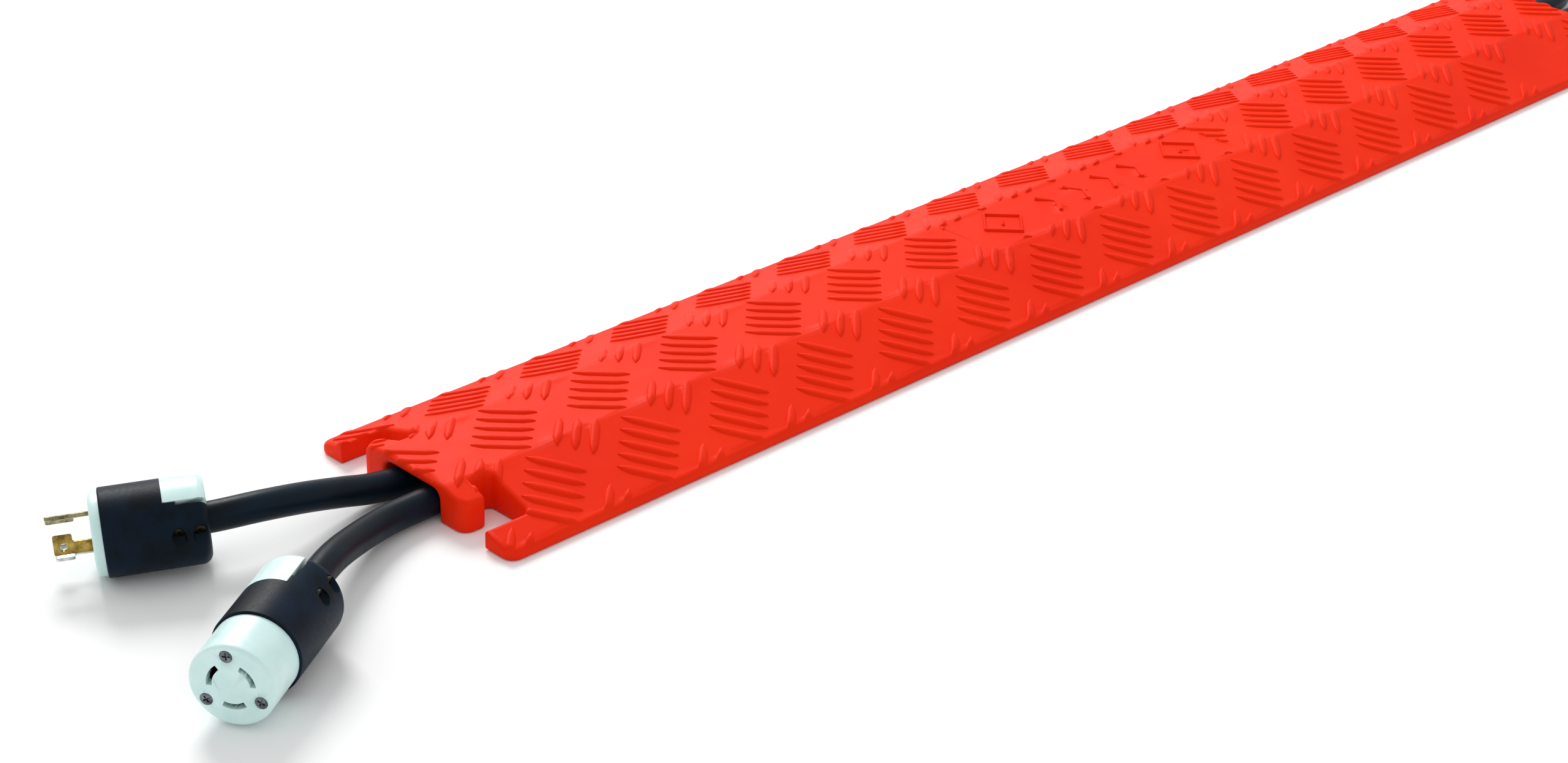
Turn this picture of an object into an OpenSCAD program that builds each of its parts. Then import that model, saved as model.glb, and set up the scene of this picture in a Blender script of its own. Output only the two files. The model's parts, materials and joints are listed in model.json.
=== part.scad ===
// One-channel drop-over cable protector ramp, laid over a twist-lock extension cord.
// Millimetres, +Z up. The origin is the middle of the ramp's footprint, on the ground.
// +X runs along the ramp to its pocket end. The plug and connector lie past its hook end, at -X.

/* [Ramp] */
// Overall length, over the hooks and the fingers
ramp_l = 914; // [800:1:1000]
// Overall width over both slopes
ramp_w = 133; // [128:1:140]
// Height of the top face
ramp_h = 19; // [18:0.5:22]
// Width of the top face
top_w = 42.6; // [40:0.2:46]
// Height of the upright outer edges
edge_h = 4.6; // [4:0.2:6]

/* [Channel] */
// Width of the cable channel
channel_w = 37; // [36:0.5:38]
// Height of the cable channel
channel_h = 14.6; // [14.2:0.1:15]
// Radius of the channel's upper corners
channel_r = 4; // [2:0.5:5]

/* [Interlock] */
// Depth of the interlock, from the end to the body's edge
lock_l = 23.8; // [20:0.2:28]
// Length of a hook's head
hook_l = 13; // [11:0.5:15]
// Half-width over the two hook heads
hook_y = 35.4; // [33:0.2:38]
// Half-width of the neck behind the heads
neck_y = 23.8; // [22:0.2:26]
// Half-width between the low side wings
wing_y = 49.6; // [47:0.2:52]
// Radius of the corners in plan
plan_r = 3; // [1:0.5:4]
// Radius of the outer corners at the tips of the tongue and wings
tip_r = 6; // [3:0.5:7]
// Play around a neighbour's hooks in the pocket end
play = 0.6; // [0.3:0.1:1]

/* [Tread] */
// Distance between bar groups along the ramp
tread_pitch = 55.4; // [52:0.2:60]
// Height of the bars
bar_h = 1.3; // [0.8:0.1:2]
// Width of one bar
bar_w = 4.2; // [3:0.2:5]
// Distance between neighbouring bars in a group
bar_step = 8; // [7:0.2:9]
// Length of the bars in a group of five
long_bar = 27; // [24:0.5:30]
// Length of the bars in a group of three
short_bar = 24; // [20:0.5:26]

/* [Cord] */
// Diameter of the cord
cord_d = 13.5; // [12:0.5:14]
// Sides of the cord's tube
cord_sides = 10; // [8:1:12]

/* [Plug and connector] */
// Diameter of the black housings
shell_d = 38.2; // [38:0.2:40]
// Diameter of the white fronts
front_d = 36; // [34:0.5:37]
// Thickness of a housing's wall
shell_t = 2.4; // [2:0.2:3]
// Length of the round part of a housing
shell_l = 25.2; // [24:0.2:28]
// Length of the plug's cord clamp
plug_clamp_l = 17.5; // [17:0.5:20]
// Length of the connector's cord clamp
conn_clamp_l = 21; // [20:0.5:25]
// How far the plug's front stands out of its housing
plug_front_l = 4.2; // [4:0.2:6]
// How far the connector's front stands out of its housing
conn_front_l = 23.3; // [22:0.2:25]
// Radius of the circle that the blades lie on
blade_r = 9; // [8.8:0.1:9.4]
// Thickness of a blade
blade_t = 1.6; // [1.2:0.1:2]
// How far the blades stand out
blade_l = 17; // [15:0.5:19]

/* [Hidden] */
$fn = 64;
eps = 0.05;
far = 200;
shell_r = shell_d / 2;
cord_r = cord_d / 2;
left = -ramp_l / 2;
right = ramp_l / 2;

// Tread: where the first full group of five lies, and how the rows step across the ramp
first_group = 52;
last_group = 15;
row_shift = 10.6;
row_y = 45.4;
cross_x = 22.4;
cross_y = -22.6;
lip = 1.2;

// Smooth panel in the middle of the top face, in bar groups from the first, and its raised signs
panel_from = 5.49;
panel_to = 9.09;
panel_w = 36;
sign_at = [5.98, 8.6];
sign_side = 20.5;
sign_line = 1.6;
chevron_at = [6.7, 7.1, 7.5, 7.9];
chevron_h = 18;
chevron_line = 3.2;

// Plug and connector: middle of the front face, heading from front to rear, and roll of the clamp.
// The plug's stiff cord holds its rear end a little off the ground.
plug_at = [-587.9, 42.3, 18.9];
plug_turn = -30;
plug_pitch = 3;
plug_roll = 34;
conn_at = [-612, -88.5, shell_r];
conn_turn = 31;
conn_pitch = 0;
conn_roll = 10;

// Three poles, evenly spaced round the axis: line, neutral, ground. The blades' hooks lead the
// turn that locks the plug, so they point the other way round from the connector's slots.
plug_pole = [177, 297, 57];
conn_pole = [14, 254, 134];
plug_sense = -1;
conn_sense = 1;
shank_half = 17;
hook_turn = 20;
hook_tip = 8;
hole_d = 3.4;
tail_l = 5;
boss_l = 7;
between_poles = 70;
assembly_r = 13;
post_d = 5;
thread_l = 9;
head_l = 1.6;
screw_z = 12.6;
screw_seat = 9.5;
grip = 0.15;
wire_d = 2.8;
wire_y = 3.6;
wire_gap = 0.4;
slot_depth = 4;
pocket_t = 6;
leaf_t = 1.1;
leaf_gap = 1.6;
plug_b = plug_front_l + shell_l;
plug_c = plug_b + plug_clamp_l;
conn_b = conn_front_l + shell_l;
conn_c = conn_b + conn_clamp_l;

// The cord's route: plug, channel, loop past the pocket end, channel, connector
cord_z = cord_r + 0.1;
channel_route = [[-455, 11.1], [-400, 11.4], [0, 11.4], [390, 11.4], [430, 11.4]];
loop_route = [
    [460, 11.4], [479, 14.5], [495, 23], [508, 36], [527, 54], [552, 62], [578, 59], [600, 46],
    [615, 25],
];

// ---------------------------------------------------------------- helpers

// A flat shape in Y and Z, drawn out along X from a to b
module along(a, b) {
    translate([a, 0, 0]) rotate([90, 0, 90]) linear_extrude(b - a) children();
}

// A rectangle from [x0, y0] to [x1, y1] with round corners, as true arcs
module round_rect(x0, y0, x1, y1, r) {
    translate([x0 + r, y0]) square([x1 - x0 - 2 * r, y1 - y0]);
    translate([x0, y0 + r]) square([x1 - x0, y1 - y0 - 2 * r]);
    for (x = [x0 + r, x1 - r], y = [y0 + r, y1 - r]) translate([x, y]) circle(r);
}

// A slice of a ring of mean radius r and thickness t, from angle a0 to a1
module ring_slice(r, t, a0, a1) {
    intersection() {
        difference() {
            circle(r + t / 2);
            circle(r - t / 2);
        }
        polygon([[0, 0], 2 * r * [cos(a0), sin(a0)],
                 3 * r * [cos((a0 + a1) / 2), sin((a0 + a1) / 2)], 2 * r * [cos(a1), sin(a1)]]);
    }
}

// A round rod between two points
module rod(a, b, d) {
    v = b - a;
    flat = sqrt(v[0] * v[0] + v[1] * v[1]);
    translate(a) rotate([0, atan2(flat, v[2]), atan2(v[1], v[0])])
        cylinder(d = d, h = norm(v), $fn = 24);
}

// Puts a piece drawn along its own axis in its place, as part of the plug or of the connector
module in_plug() {
    translate(plug_at) rotate([0, -plug_pitch, plug_turn]) children();
}

module in_connector() {
    translate(conn_at) rotate([0, -conn_pitch, conn_turn]) children();
}

// ---------------------------------------------------------------- ramp

// Cross-section of the ramp, with its upper faces raised by g
module ramp_section(g = 0) {
    w = ramp_w / 2;
    polygon([[-w + lip / 2, 0], [-w, lip], [-w, edge_h - lip + g], [-w + lip, edge_h + g],
             [-top_w / 2, ramp_h + g], [top_w / 2, ramp_h + g],
             [w - lip, edge_h + g], [w, edge_h - lip + g], [w, lip], [w - lip / 2, 0]]);
}

module channel_section() {
    translate([-channel_w / 2, -1]) square([channel_w, channel_h + 1 - channel_r]);
    round_rect(-channel_w / 2, 0, channel_w / 2, channel_h, channel_r);
}

// The slots between the hooks and the side wings, in plan, from the hook end at x = 0
module hook_slots() {
    for (side = [-1, 1]) scale([1, side]) difference() {
        union() {
            translate([-far, hook_y - plan_r])
                square([far + lock_l - plan_r, wing_y - hook_y + plan_r]);
            round_rect(-far, neck_y, lock_l, wing_y, plan_r);
        }
        round_rect(0, 0, hook_l, hook_y, plan_r);
        translate([-eps, 0]) square([hook_l / 2, neck_y + plan_r]);
    }
}

// Round corners at the tips of the tongue and wings
module tip_rounds() {
    for (side = [-1, 1]) scale([1, side]) for (y = [hook_y, ramp_w / 2]) difference() {
        translate([-1, y - tip_r]) square([1 + tip_r, tip_r + 1]);
        translate([tip_r, y - tip_r]) circle(tip_r);
    }
}

// What a neighbour's hooks, neck and wings fill at the pocket end, in plan, x measured inward
module pocket_plan() {
    head = lock_l - hook_l;
    translate([-1, -neck_y - play]) square([head + 2, 2 * (neck_y + play)]);
    round_rect(head - play, -hook_y - play, lock_l + play, hook_y + play, plan_r);
    for (side = [-1, 1]) scale([1, side])
        translate([-1, wing_y - play]) square([1 + lock_l + play, far]);
}

// One bar with pointed ends, along x
module bar(l) {
    taper = bar_w * 1.5;
    polygon([[-l / 2, 0], [taper - l / 2, -bar_w / 2], [l / 2 - taper, -bar_w / 2],
             [l / 2, 0], [l / 2 - taper, bar_w / 2], [taper - l / 2, bar_w / 2]]);
}

module bar_group(count, l, turn) {
    rotate(turn) for (k = [0 : count - 1])
        translate([0, (k - (count - 1) / 2) * bar_step]) bar(l);
}

function group_x(k) = first_group + k * tread_pitch;

// Raised signs on the smooth panel: a plain outlined diamond at each end, chevrons between
module panel_signs() {
    inside = sign_side - 2 * sign_line;
    for (k = sign_at) translate([group_x(k), 0]) rotate(45) {
        difference() {
            square(sign_side, center = true);
            square(inside, center = true);
        }
        square(inside / 3, center = true);
    }
    for (k = chevron_at, side = [-1, 1]) translate([group_x(k), 0])
        polygon([[0, 0], [chevron_line, 0], [chevron_line - chevron_h / 3, side * chevron_h / 2],
                 [-chevron_h / 3, side * chevron_h / 2]]);
}

// The whole tread in plan, x measured from the hook end
module tread_plan() {
    difference() {
        for (k = [-1 : last_group]) {
            for (row = [-1 : 1]) translate([group_x(k) + row * row_shift, row * row_y])
                bar_group(5, long_bar, -45);
            for (row = [-1 : 2])
                translate([group_x(k) + cross_x + row * row_shift, cross_y + row * row_y])
                    bar_group(3, short_bar, 45);
        }
        translate([group_x(panel_from), -panel_w / 2])
            square([(panel_to - panel_from) * tread_pitch, panel_w]);
    }
    panel_signs();
}

module ramp_body() {
    color("orangered") difference() {
        union() {
            along(left, right) ramp_section();
            intersection() {
                along(left, right) ramp_section(bar_h);
                translate([left, 0, 0]) linear_extrude(ramp_h + 2 * bar_h) tread_plan();
            }
        }
        along(left - 1, right + 1) channel_section();
        translate([left, 0, -1]) linear_extrude(ramp_h + 4) {
            hook_slots();
            tip_rounds();
        }
        translate([right, 0, -1]) mirror([1, 0, 0]) linear_extrude(ramp_h + 4) pocket_plan();
    }
}

// ---------------------------------------------------------------- cord

function direction(turn, pitch) = [cos(turn) * cos(pitch), sin(turn) * cos(pitch), sin(pitch)];

plug_dir = direction(plug_turn, plug_pitch);
conn_dir = direction(conn_turn, conn_pitch);
plug_cord_in = plug_front_l + shell_l - 4;
conn_cord_in = conn_front_l + shell_l - 4;

function flat(points, z) = [for (p = points) [p[0], p[1], z]];
function back(points) = [for (k = [len(points) - 1 : -1 : 0]) [points[k][0], -points[k][1]]];

route = concat(
    [plug_at + plug_cord_in * plug_dir, plug_at + (plug_cord_in + 22) * plug_dir,
     [-526, 12, 21.5], [-505, 10.5, 18.1], [-485, 11.7, 12.5], [-469, 11.7, 8.3]],
    flat(channel_route, cord_z),
    flat(loop_route, cord_z),
    [[620, 0, cord_z]],
    flat(back(loop_route), cord_z),
    flat(back(channel_route), cord_z),
    [[-480, -13.8, 8], [-503, -23, 12], [-525, -35.5, 17],
     conn_at + (conn_cord_in + 28) * conn_dir, conn_at + conn_cord_in * conn_dir]
);

// A smooth curve through the route points, with n steps between neighbours. The slope at each
// point is weighted by the distances to its neighbours, so that uneven spacing makes no bulges.
function pick(p, k) = p[max(0, min(len(p) - 1, k))];
function gap(p, k) = norm(p[k + 1] - p[k]);
function slope(p, k) =
    k == 0 ? (p[1] - p[0]) / gap(p, 0)
    : k == len(p) - 1 ? (p[k] - p[k - 1]) / gap(p, k - 1)
    : let (a = gap(p, k - 1), b = gap(p, k))
        ((p[k] - p[k - 1]) * b / a + (p[k + 1] - p[k]) * a / b) / (a + b);
function between(p, k, t) =
    let (l = gap(p, k), u = t * t, v = u * t)
    (2 * v - 3 * u + 1) * p[k] + (v - 2 * u + t) * l * slope(p, k)
        + (3 * u - 2 * v) * p[k + 1] + (v - u) * l * slope(p, k + 1);
function steps(p, k) = max(1, round(gap(p, k) / (2.8 * cord_d)));
function smooth(p) = concat(
    [for (k = [0 : len(p) - 2]) for (j = [0 : steps(p, k) - 1]) between(p, k, j / steps(p, k))],
    [p[len(p) - 1]]);
function unit(v) = v / norm(v);
function heading(p, k) = unit(pick(p, k + 1) - pick(p, k - 1));
function ring(p, k, r, n) =
    let (f = heading(p, k), s = unit(cross([0, 0, 1], f)), u = cross(f, s))
    [for (j = [0 : n - 1]) p[k] + r * (cos(360 * j / n) * s + sin(360 * j / n) * u)];

module tube(p, r, n) {
    m = len(p);
    polyhedron(
        points = [for (k = [0 : m - 1]) each ring(p, k, r, n)],
        faces = concat(
            [[for (j = [0 : n - 1]) j]],
            [for (k = [0 : m - 2], j = [0 : n - 1]) let (a = k * n + j, b = k * n + (j + 1) % n)
                each [[b, a, a + n], [b, a + n, b + n]]],
            [[for (j = [n - 1 : -1 : 0]) (m - 1) * n + j]]));
}

module cord() {
    color("black") tube(smooth(route), cord_r, cord_sides);
}

// ---------------------------------------------------------------- plug and connector

// Black housing: a round cup open to the front from a to b, and half of the cord clamp to c.
// Posts inside it take the assembly screws.
module shell(a, b, c, roll, poles, sense) {
    difference() {
        union() {
            difference() {
                along(a, b) circle(shell_r);
                along(a - 1, b - shell_t) circle(shell_r - shell_t);
            }
            for (p = poles) rotate([p + sense * between_poles, 0, 0]) along(a + boss_l, b - 1)
                translate([assembly_r, 0]) circle(d = post_d);
            rotate([roll, 0, 0]) along(b - 1, c) intersection() {
                circle(shell_r);
                translate([-far, -far]) square([far, 2 * far]);
            }
        }
        along(a - 1, c + 1) circle(cord_r - grip);
        for (p = poles) rotate([p + sense * between_poles, 0, 0]) along(a - 1, a + boss_l + thread_l)
            translate([assembly_r, 0]) circle(d = 2.8);
        // the halves of the clamp stay apart beside the cord
        rotate([roll, 0, 0]) along(b + 5, c + 1) translate([-1.6, -far]) square([2, 2 * far]);
        clamp_bores(b, c, roll, 3.1);
        rotate([roll, 0, 0]) for (x = screw_x(b, c), z = [-1, 1])
            translate([x, -screw_seat, z * screw_z]) rotate([90, 0, 0]) cylinder(d = 6, h = far);
    }
}

// White half of the cord clamp, from b to c
module clamp_half(b, c, roll) {
    difference() {
        rotate([roll, 0, 0]) along(b + 0.1, c) intersection() {
            circle(shell_r);
            translate([0.4, -far]) square([far, 2 * far]);
        }
        along(b - 1, c + 1) circle(cord_r - grip);
        clamp_bores(b, c, roll, 2.9);
    }
}

function screw_l(l) = l + boss_l + thread_l - head_l - 0.5;
function screw_x(b, c) = [b + (c - b) * 0.28, b + (c - b) * 0.76];

module clamp_bores(b, c, roll, d) {
    rotate([roll, 0, 0]) for (x = screw_x(b, c), z = [-1, 1])
        translate([x, 8, z * screw_z]) rotate([90, 0, 0]) cylinder(d = d, h = 30);
}

// A pan-head screw along y with a cross recess, head seated at the origin, shank towards -y
module screw(shank_d, head_d, head_h, length) {
    difference() {
        union() {
            rotate([-90, 0, 0]) cylinder(d = head_d, h = head_h);
            rotate([90, 0, 0]) cylinder(d = shank_d, h = length);
        }
        for (a = [0, 90]) rotate([0, a, 0]) translate([-head_d * 0.32, head_h * 0.45, -0.35])
            cube([head_d * 0.64, head_h, 0.7]);
    }
}

module clamp_screws(b, c, roll) {
    rotate([roll, 0, 0]) for (x = screw_x(b, c), z = [-1, 1])
        translate([x, -screw_seat, z * screw_z]) rotate([0, 0, 180]) screw(2.9, 5.4, 2.2, 17);
}

// Screws through the white front into the housing's posts, heads sunk in a face at x = 0
module assembly_screws(length, poles, sense) {
    for (p = poles) rotate([p + sense * between_poles, 0, 0])
        translate([head_l, assembly_r, 0]) rotate([0, 0, 90]) screw(2.8, 5, head_l, length);
}

module assembly_bores(length, poles, sense) {
    for (p = poles) rotate([p + sense * between_poles, 0, 0]) {
        along(-1, head_l) translate([assembly_r, 0]) circle(d = 5.4);
        along(0, length) translate([assembly_r, 0]) circle(d = 2.8);
    }
}

// White front: a round body with a boss behind it that sits inside the housing
module front_body(l) {
    along(0, l) circle(front_d / 2);
    along(l - 1, l + boss_l) circle(shell_r - shell_t - 0.1);
}

// The tail of a pole stands out behind the boss, with a terminal screw halfway along it
function tail_end(l) = l + boss_l + tail_l;
function terminal_x(l) = l + boss_l + tail_l / 2;

module terminal_screws(x, poles) {
    for (p = poles) rotate([p, 0, 0])
        translate([x, blade_r + blade_t / 2, 0]) screw(2.4, 3.6, 1.2, blade_t);
}

module terminal_bore(x, p) {
    rotate([p, 0, 0]) translate([x, 0, 0]) rotate([-90, 0, 0]) cylinder(d = 2.4, h = far);
}

// One insulated wire from the cord's end to the underside of its pole's tail
module wire(from_x, to_x, p) {
    at_cord = [from_x - wire_gap, wire_y, 0];
    at_tail = [to_x + wire_gap, blade_r - blade_t / 2 - wire_d / 2, 0];
    rotate([p, 0, 0]) rod(at_cord, at_tail, wire_d);
}

// An arc about pole p, widened by more on both sides and by the hook on the side of sense
module pole_arc(p, r, t, sense, hook, more = 0) {
    turn = hook ? hook_turn : 0;
    ring_slice(r, t, p - shank_half - more - (sense < 0 ? turn : 0),
               p + shank_half + more + (sense > 0 ? turn : 0));
}

// Locking blade: an arc in section, with a wider tip that turns behind the contact
module blade(p, base_x) {
    difference() {
        union() {
            along(-blade_l, base_x) pole_arc(p, blade_r, blade_t, plug_sense, false);
            along(-blade_l, hook_tip - blade_l) pole_arc(p, blade_r, blade_t, plug_sense, true);
        }
        rotate([p - 4, 0, 0]) translate([hook_tip / 2 - blade_l, 0, 0])
            rotate([-90, 0, 0]) cylinder(d = hole_d, h = far);
        terminal_bore(terminal_x(plug_front_l), p);
    }
}

module plug_housing() {
    color("black") in_plug()
        shell(plug_front_l, plug_b, plug_c, plug_roll, plug_pole, plug_sense);
}

module plug_clamp() {
    color("white") in_plug() clamp_half(plug_b, plug_c, plug_roll);
}

module plug_front() {
    color("white") in_plug() difference() {
        front_body(plug_front_l);
        for (p = plug_pole) along(-1, tail_end(plug_front_l))
            pole_arc(p, blade_r, blade_t, plug_sense, false);
        assembly_bores(far, plug_pole, plug_sense);
    }
}

module plug_blade(p) {
    in_plug() blade(p, tail_end(plug_front_l));
}

module plug_blade_line() { color("goldenrod") plug_blade(plug_pole[0]); }
module plug_blade_neutral() { color("silver") plug_blade(plug_pole[1]); }
module plug_blade_ground() { color("darkkhaki") plug_blade(plug_pole[2]); }

module plug_terminal_screws() {
    color("silver") in_plug() terminal_screws(terminal_x(plug_front_l), plug_pole);
}

module plug_clamp_screws() {
    color("goldenrod") in_plug() clamp_screws(plug_b, plug_c, plug_roll);
}

module plug_assembly_screws() {
    color("dimgray") in_plug()
        assembly_screws(screw_l(plug_front_l), plug_pole, plug_sense);
}

module plug_wire(p) {
    in_plug() wire(plug_cord_in, plug_front_l + boss_l, p);
}

module plug_wire_line() { color("black") plug_wire(plug_pole[0]); }
module plug_wire_neutral() { color("white") plug_wire(plug_pole[1]); }
module plug_wire_ground() { color("green") plug_wire(plug_pole[2]); }

module connector_housing() {
    color("black") in_connector()
        shell(conn_front_l, conn_b, conn_c, conn_roll, conn_pole, conn_sense);
}

module connector_clamp() {
    color("white") in_connector() clamp_half(conn_b, conn_c, conn_roll);
}

// White body of the connector, with curved slots for the blades and a pocket behind each
module connector_front() {
    color("white") in_connector() difference() {
        front_body(conn_front_l);
        for (p = conn_pole) {
            along(-1, slot_depth + 1) pole_arc(p, blade_r, blade_t + 0.8, conn_sense, true, 3);
            along(slot_depth, tail_end(conn_front_l))
                pole_arc(p, blade_r, pocket_t, conn_sense, true, 4);
        }
        assembly_bores(far, conn_pole, conn_sense);
    }
}

// Brass contact: two leaves that grip the blade, joined behind it, with a tail for the wire
module connector_contact(p) {
    color("goldenrod") in_connector() difference() {
        union() {
            for (side = [-1, 1]) along(slot_depth + 1, conn_front_l - 3)
                pole_arc(p, blade_r + side * leaf_gap, leaf_t, conn_sense, true, 3);
            along(conn_front_l - 4, conn_front_l - 2)
                pole_arc(p, blade_r, pocket_t, conn_sense, true, 4);
            along(conn_front_l - 3, tail_end(conn_front_l))
                pole_arc(p, blade_r, blade_t, conn_sense, false);
        }
        terminal_bore(terminal_x(conn_front_l), p);
    }
}

module connector_contact_line() { connector_contact(conn_pole[0]); }
module connector_contact_neutral() { connector_contact(conn_pole[1]); }
module connector_contact_ground() { connector_contact(conn_pole[2]); }

module connector_terminal_screws() {
    color("silver") in_connector() terminal_screws(terminal_x(conn_front_l), conn_pole);
}

module connector_clamp_screws() {
    color("goldenrod") in_connector() clamp_screws(conn_b, conn_c, conn_roll);
}

module connector_assembly_screws() {
    color("dimgray") in_connector()
        assembly_screws(screw_l(conn_front_l), conn_pole, conn_sense);
}

module connector_wire(p) {
    in_connector() wire(conn_cord_in, conn_front_l + boss_l, p);
}

module connector_wire_line() { color("black") connector_wire(conn_pole[0]); }
module connector_wire_neutral() { color("white") connector_wire(conn_pole[1]); }
module connector_wire_ground() { color("green") connector_wire(conn_pole[2]); }

ramp_body();
cord();
plug_housing();
plug_front();
plug_clamp();
plug_blade_line();
plug_blade_neutral();
plug_blade_ground();
plug_terminal_screws();
plug_clamp_screws();
plug_assembly_screws();
plug_wire_line();
plug_wire_neutral();
plug_wire_ground();
connector_housing();
connector_front();
connector_clamp();
connector_contact_line();
connector_contact_neutral();
connector_contact_ground();
connector_terminal_screws();
connector_clamp_screws();
connector_assembly_screws();
connector_wire_line();
connector_wire_neutral();
connector_wire_ground();
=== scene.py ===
import json
import math

import bmesh
import bpy
import numpy as np
from mathutils import Matrix, Vector
from mathutils.geometry import delaunay_2d_cdt


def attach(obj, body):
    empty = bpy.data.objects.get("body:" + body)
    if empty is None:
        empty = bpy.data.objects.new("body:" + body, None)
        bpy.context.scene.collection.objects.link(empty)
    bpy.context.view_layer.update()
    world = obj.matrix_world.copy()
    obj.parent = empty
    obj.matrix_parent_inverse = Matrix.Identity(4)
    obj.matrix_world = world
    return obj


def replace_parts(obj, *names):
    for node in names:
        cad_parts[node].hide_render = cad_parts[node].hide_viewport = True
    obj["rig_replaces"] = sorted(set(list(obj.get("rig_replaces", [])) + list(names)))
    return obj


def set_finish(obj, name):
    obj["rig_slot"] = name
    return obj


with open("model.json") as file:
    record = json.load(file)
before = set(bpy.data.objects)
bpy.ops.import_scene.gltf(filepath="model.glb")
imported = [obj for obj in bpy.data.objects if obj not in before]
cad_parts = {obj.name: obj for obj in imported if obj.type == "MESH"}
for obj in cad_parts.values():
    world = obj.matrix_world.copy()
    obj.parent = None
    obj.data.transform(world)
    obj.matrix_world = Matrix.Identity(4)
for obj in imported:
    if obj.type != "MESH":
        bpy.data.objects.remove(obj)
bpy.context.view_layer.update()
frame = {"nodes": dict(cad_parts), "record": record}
nodes = frame["nodes"]
MM = 0.001

# ------------------------------------------------------------------ camera

# Where the camera stands, in millimetres, the directions of its right and its back, and its focal
# length and shift, in widths of the picture
CAMERA_AT = (-1130.0, -886.0, 637.9)
CAMERA_RIGHT = (0.699052, -0.714199, 0.035299)
CAMERA_BACK = (-0.644724, -0.60816, 0.463111)
FOCAL_WIDTHS = 1.8717
SHIFT_X, SHIFT_Y = -0.0355078, 0.0057031


def make_camera():
    data = bpy.data.cameras.new("camera")
    cam = bpy.data.objects.new("camera", data)
    bpy.context.scene.collection.objects.link(cam)
    data.sensor_width = 36
    data.lens = FOCAL_WIDTHS * data.sensor_width
    data.shift_x, data.shift_y = SHIFT_X, SHIFT_Y
    data.clip_start, data.clip_end = 0.01, 50
    back = Vector(CAMERA_BACK).normalized()
    right = Vector(CAMERA_RIGHT)
    right = (right - right.dot(back) * back).normalized()
    up = back.cross(right)
    turn = Matrix((right, up, back)).transposed().to_4x4()
    cam.matrix_world = Matrix.Translation(Vector(CAMERA_AT) * MM) @ turn
    bpy.context.scene.camera = cam


make_camera()

# ------------------------------------------------------------------ places, in millimetres

# The cord's radius and how high its middle lies; where the plug and the connector stand, their
# headings and pitch in degrees, and the lengths of their fronts, shells and clamps
CORD_R = 6.75
CORD_Z = CORD_R + 0.1
PLUG_AT, PLUG_TURN, PLUG_PITCH = Vector((-587.9, 42.3, 18.9)), -30, 3
CONN_AT, CONN_TURN, CONN_PITCH = Vector((-612, -88.5, 19.1)), 31, 0
PLUG_FRONT_L, CONN_FRONT_L, SHELL_L = 4.2, 23.3, 25.2
PLUG_CLAMP_L, CONN_CLAMP_L = 17.5, 21

# How far the cord's ends reach in past the clamps, the length of the straight run at each end, and
# the route's points in x and y on the ground: one run of the channel, and half of the loop past it
CORD_INSIDE, PLUG_STRAIGHT, CONN_STRAIGHT = 4, 22, 28
IN_CHANNEL = [(-455, 11.1), (-400, 11.4), (0, 11.4), (390, 11.4), (430, 11.4)]
LOOP = [(460, 11.4), (479, 14.5), (495, 23), (508, 36), (527, 54), (552, 62), (578, 59),
        (600, 46), (615, 25)]


def place_of(at, turn, pitch):
    """Where a piece drawn along its own x axis stands."""
    return (Matrix.Translation(at) @ Matrix.Rotation(math.radians(turn), 4, "Z")
            @ Matrix.Rotation(math.radians(-pitch), 4, "Y"))


in_plug, in_conn = place_of(PLUG_AT, PLUG_TURN, PLUG_PITCH), place_of(CONN_AT, CONN_TURN, CONN_PITCH)
plug_dir, conn_dir = in_plug.col[0].to_3d(), in_conn.col[0].to_3d()
PLUG_CORD_IN = PLUG_FRONT_L + SHELL_L - CORD_INSIDE
CONN_CORD_IN = CONN_FRONT_L + SHELL_L - CORD_INSIDE


def route_points():
    """The cord's route from the plug through the channel and back to the connector."""
    route = [PLUG_AT + (PLUG_CORD_IN + s) * plug_dir for s in (0, PLUG_STRAIGHT)]
    route += [Vector(p) for p in ((-526, 12, 21.5), (-505, 10.5, 18.1), (-485, 11.7, 12.5),
                                  (-469, 11.7, 8.3))]
    out = IN_CHANNEL + LOOP
    route += [Vector((x, y, CORD_Z)) for x, y in out] + [Vector((620, 0, CORD_Z))]
    route += [Vector((x, -y, CORD_Z)) for x, y in reversed(out)]
    route += [Vector(p) for p in ((-480, -13.8, 8), (-503, -23, 12), (-525, -35.5, 17))]
    route += [CONN_AT + (CONN_CORD_IN + s) * conn_dir for s in (CONN_STRAIGHT, 0)]
    return route


def slope_at(route, k):
    """Slope at a route point, weighted by the distances to its neighbours."""
    if k == 0 or k == len(route) - 1:
        step = route[max(k, 1)] - route[max(k, 1) - 1]
        return step.normalized()
    before, after = route[k] - route[k - 1], route[k + 1] - route[k]
    a, b = before.length, after.length
    slope = (before * b / a + after * a / b) / (a + b)
    if abs(route[k].z - CORD_Z) < 0.01:
        slope.z = 0
    return slope


def make_cord():
    """One smooth curve through the route, the same as the CAD tube's."""
    route = route_points()
    data = bpy.data.curves.new("cord_line", "CURVE")
    data.dimensions = "3D"
    data.bevel_depth = 1
    data.bevel_resolution = 10
    data.resolution_u = 14
    data.use_fill_caps = True
    spline = data.splines.new("BEZIER")
    spline.bezier_points.add(len(route) - 1)
    for k, (p, bez) in enumerate(zip(route, spline.bezier_points)):
        before = (p - route[max(0, k - 1)]).length
        after = (route[min(len(route) - 1, k + 1)] - p).length
        slope = slope_at(route, k)
        bez.handle_left_type = bez.handle_right_type = "FREE"
        bez.co, bez.radius = p * MM, CORD_R * MM
        bez.handle_left = (p - slope * before / 3) * MM
        bez.handle_right = (p + slope * after / 3) * MM
    cord = bpy.data.objects.new("cord_line", data)
    bpy.context.scene.collection.objects.link(cord)
    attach(cord, "cord_set")
    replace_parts(cord, "cord")
    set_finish(cord, "cord_jacket")
    return cord


cord = make_cord()

# ------------------------------------------------------------------ mesh helpers


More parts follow.
